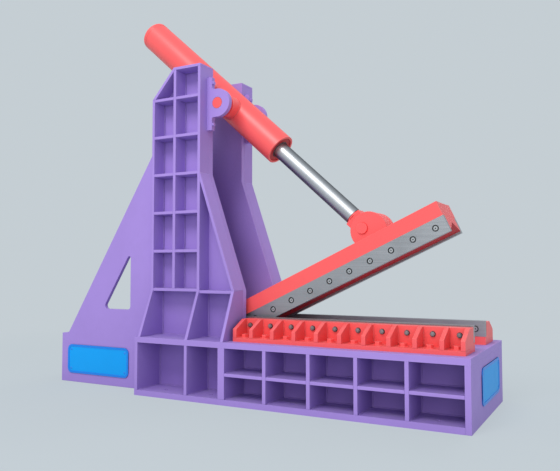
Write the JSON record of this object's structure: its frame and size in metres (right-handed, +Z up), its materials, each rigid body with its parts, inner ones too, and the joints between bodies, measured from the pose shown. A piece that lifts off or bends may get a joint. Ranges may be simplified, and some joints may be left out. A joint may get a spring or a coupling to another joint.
{
  "type": "hydraulic alligator shear",
  "caption": "Scrap-metal shear: ribbed base, two towers, a trunnion cylinder and a hinged upper jaw with bolted blades that closes past a fixed lower jaw.",
  "frame": {"origin": "middle of the footprint, on the floor", "axes": "+X from the towers towards the jaw tip, +Y to the far side, +Z up"},
  "size_m": [3.126, 0.98, 2.7736],
  "materials": {
    "purple_paint": "satin",
    "red_paint": "satin",
    "dark_red_paint": "satin",
    "blue_paint": "gloss",
    "blade_steel": "ground",
    "machined_steel": "machined",
    "chrome": "polished",
    "bronze": "machined"
  },
  "bodies": {
    "frame": {"base_plates": "purple_paint", "deck_plate": "purple_paint", "front_end_plate": "purple_paint", "base_webs": "purple_paint", "pocket_ribs": "purple_paint", "pocket_shelves": "purple_paint", "cross_ribs": "purple_paint", "gusset_near": "purple_paint", "gusset_far": "purple_paint", "rear_end_plate": "purple_paint", "rear_top_plate": "purple_paint", "tie_plate": "purple_paint", "tower_web_near": "purple_paint", "tower_web_far": "purple_paint", "rear_flange_near": "purple_paint", "rear_flange_far": "purple_paint", "front_flange_near": "purple_paint", "front_flange_far": "purple_paint", "nose_flange_near": "purple_paint", "nose_flange_far": "purple_paint", "tower_grid_near": "purple_paint", "tower_grid_far": "purple_paint", "tower_cap_near": "purple_paint", "tower_cap_far": "purple_paint", "pivot_shaft": "machined_steel", "pivot_caps": "purple_paint", "thrust_rings": "bronze", "seat_near": "red_paint", "seat_far": "red_paint", "seat_ribs": "red_paint", "lower_blade_near": "blade_steel", "lower_blade_far": "blade_steel", "lower_blade_bolts": "machined_steel", "hold_down_bolts": "red_paint", "bracket_near": "purple_paint", "bracket_far": "purple_paint", "bracket_bolts": "purple_paint", "trunnion_bushes": "bronze", "badges": "blue_paint"},
    "upper_jaw": {"cheek_near": "red_paint", "cheek_far": "red_paint", "jaw_keel": "dark_red_paint", "jaw_lid": "red_paint", "jaw_nose": "red_paint", "jaw_diaphragms": "red_paint", "jaw_hub": "red_paint", "hub_bushes": "bronze", "upper_blade_near": "blade_steel", "upper_blade_far": "blade_steel", "upper_blade_bolts": "machined_steel", "rod_lugs": "red_paint", "rod_pin": "red_paint"},
    "cylinder": {"barrel": "red_paint", "barrel_cap": "red_paint", "gland": "dark_red_paint", "trunnions": "red_paint", "hose_ports": "machined_steel"},
    "rod": {"rod": "chrome", "piston": "machined_steel", "rod_eye": "red_paint"}
  },
  "joints": [
    {"name": "jaw_pivot", "type": "hinge", "parent": "frame", "child": "upper_jaw", "pos_m": [-0.0815, 0, 0.5011], "axis": [0, 1, 0], "range_deg": [-5, 20]},
    {"name": "cylinder_swing", "type": "hinge", "parent": "frame", "child": "cylinder", "pos_m": [-0.1637, 0, 2.0057], "axis": [0, 1, 0], "range_deg": [-1.3, 5.1]},
    {"name": "rod_extend", "type": "slide", "parent": "cylinder", "child": "rod", "axis": [0.7426, 0, -0.6698], "range_m": [-0.0925, 0.3625]}
  ],
  "couplings": [
    {"joint": "cylinder_swing", "follows": "jaw_pivot", "ratio": 0.246},
    {"joint": "rod_extend", "follows": "jaw_pivot", "m_per_rad": 1.028}
  ]
}
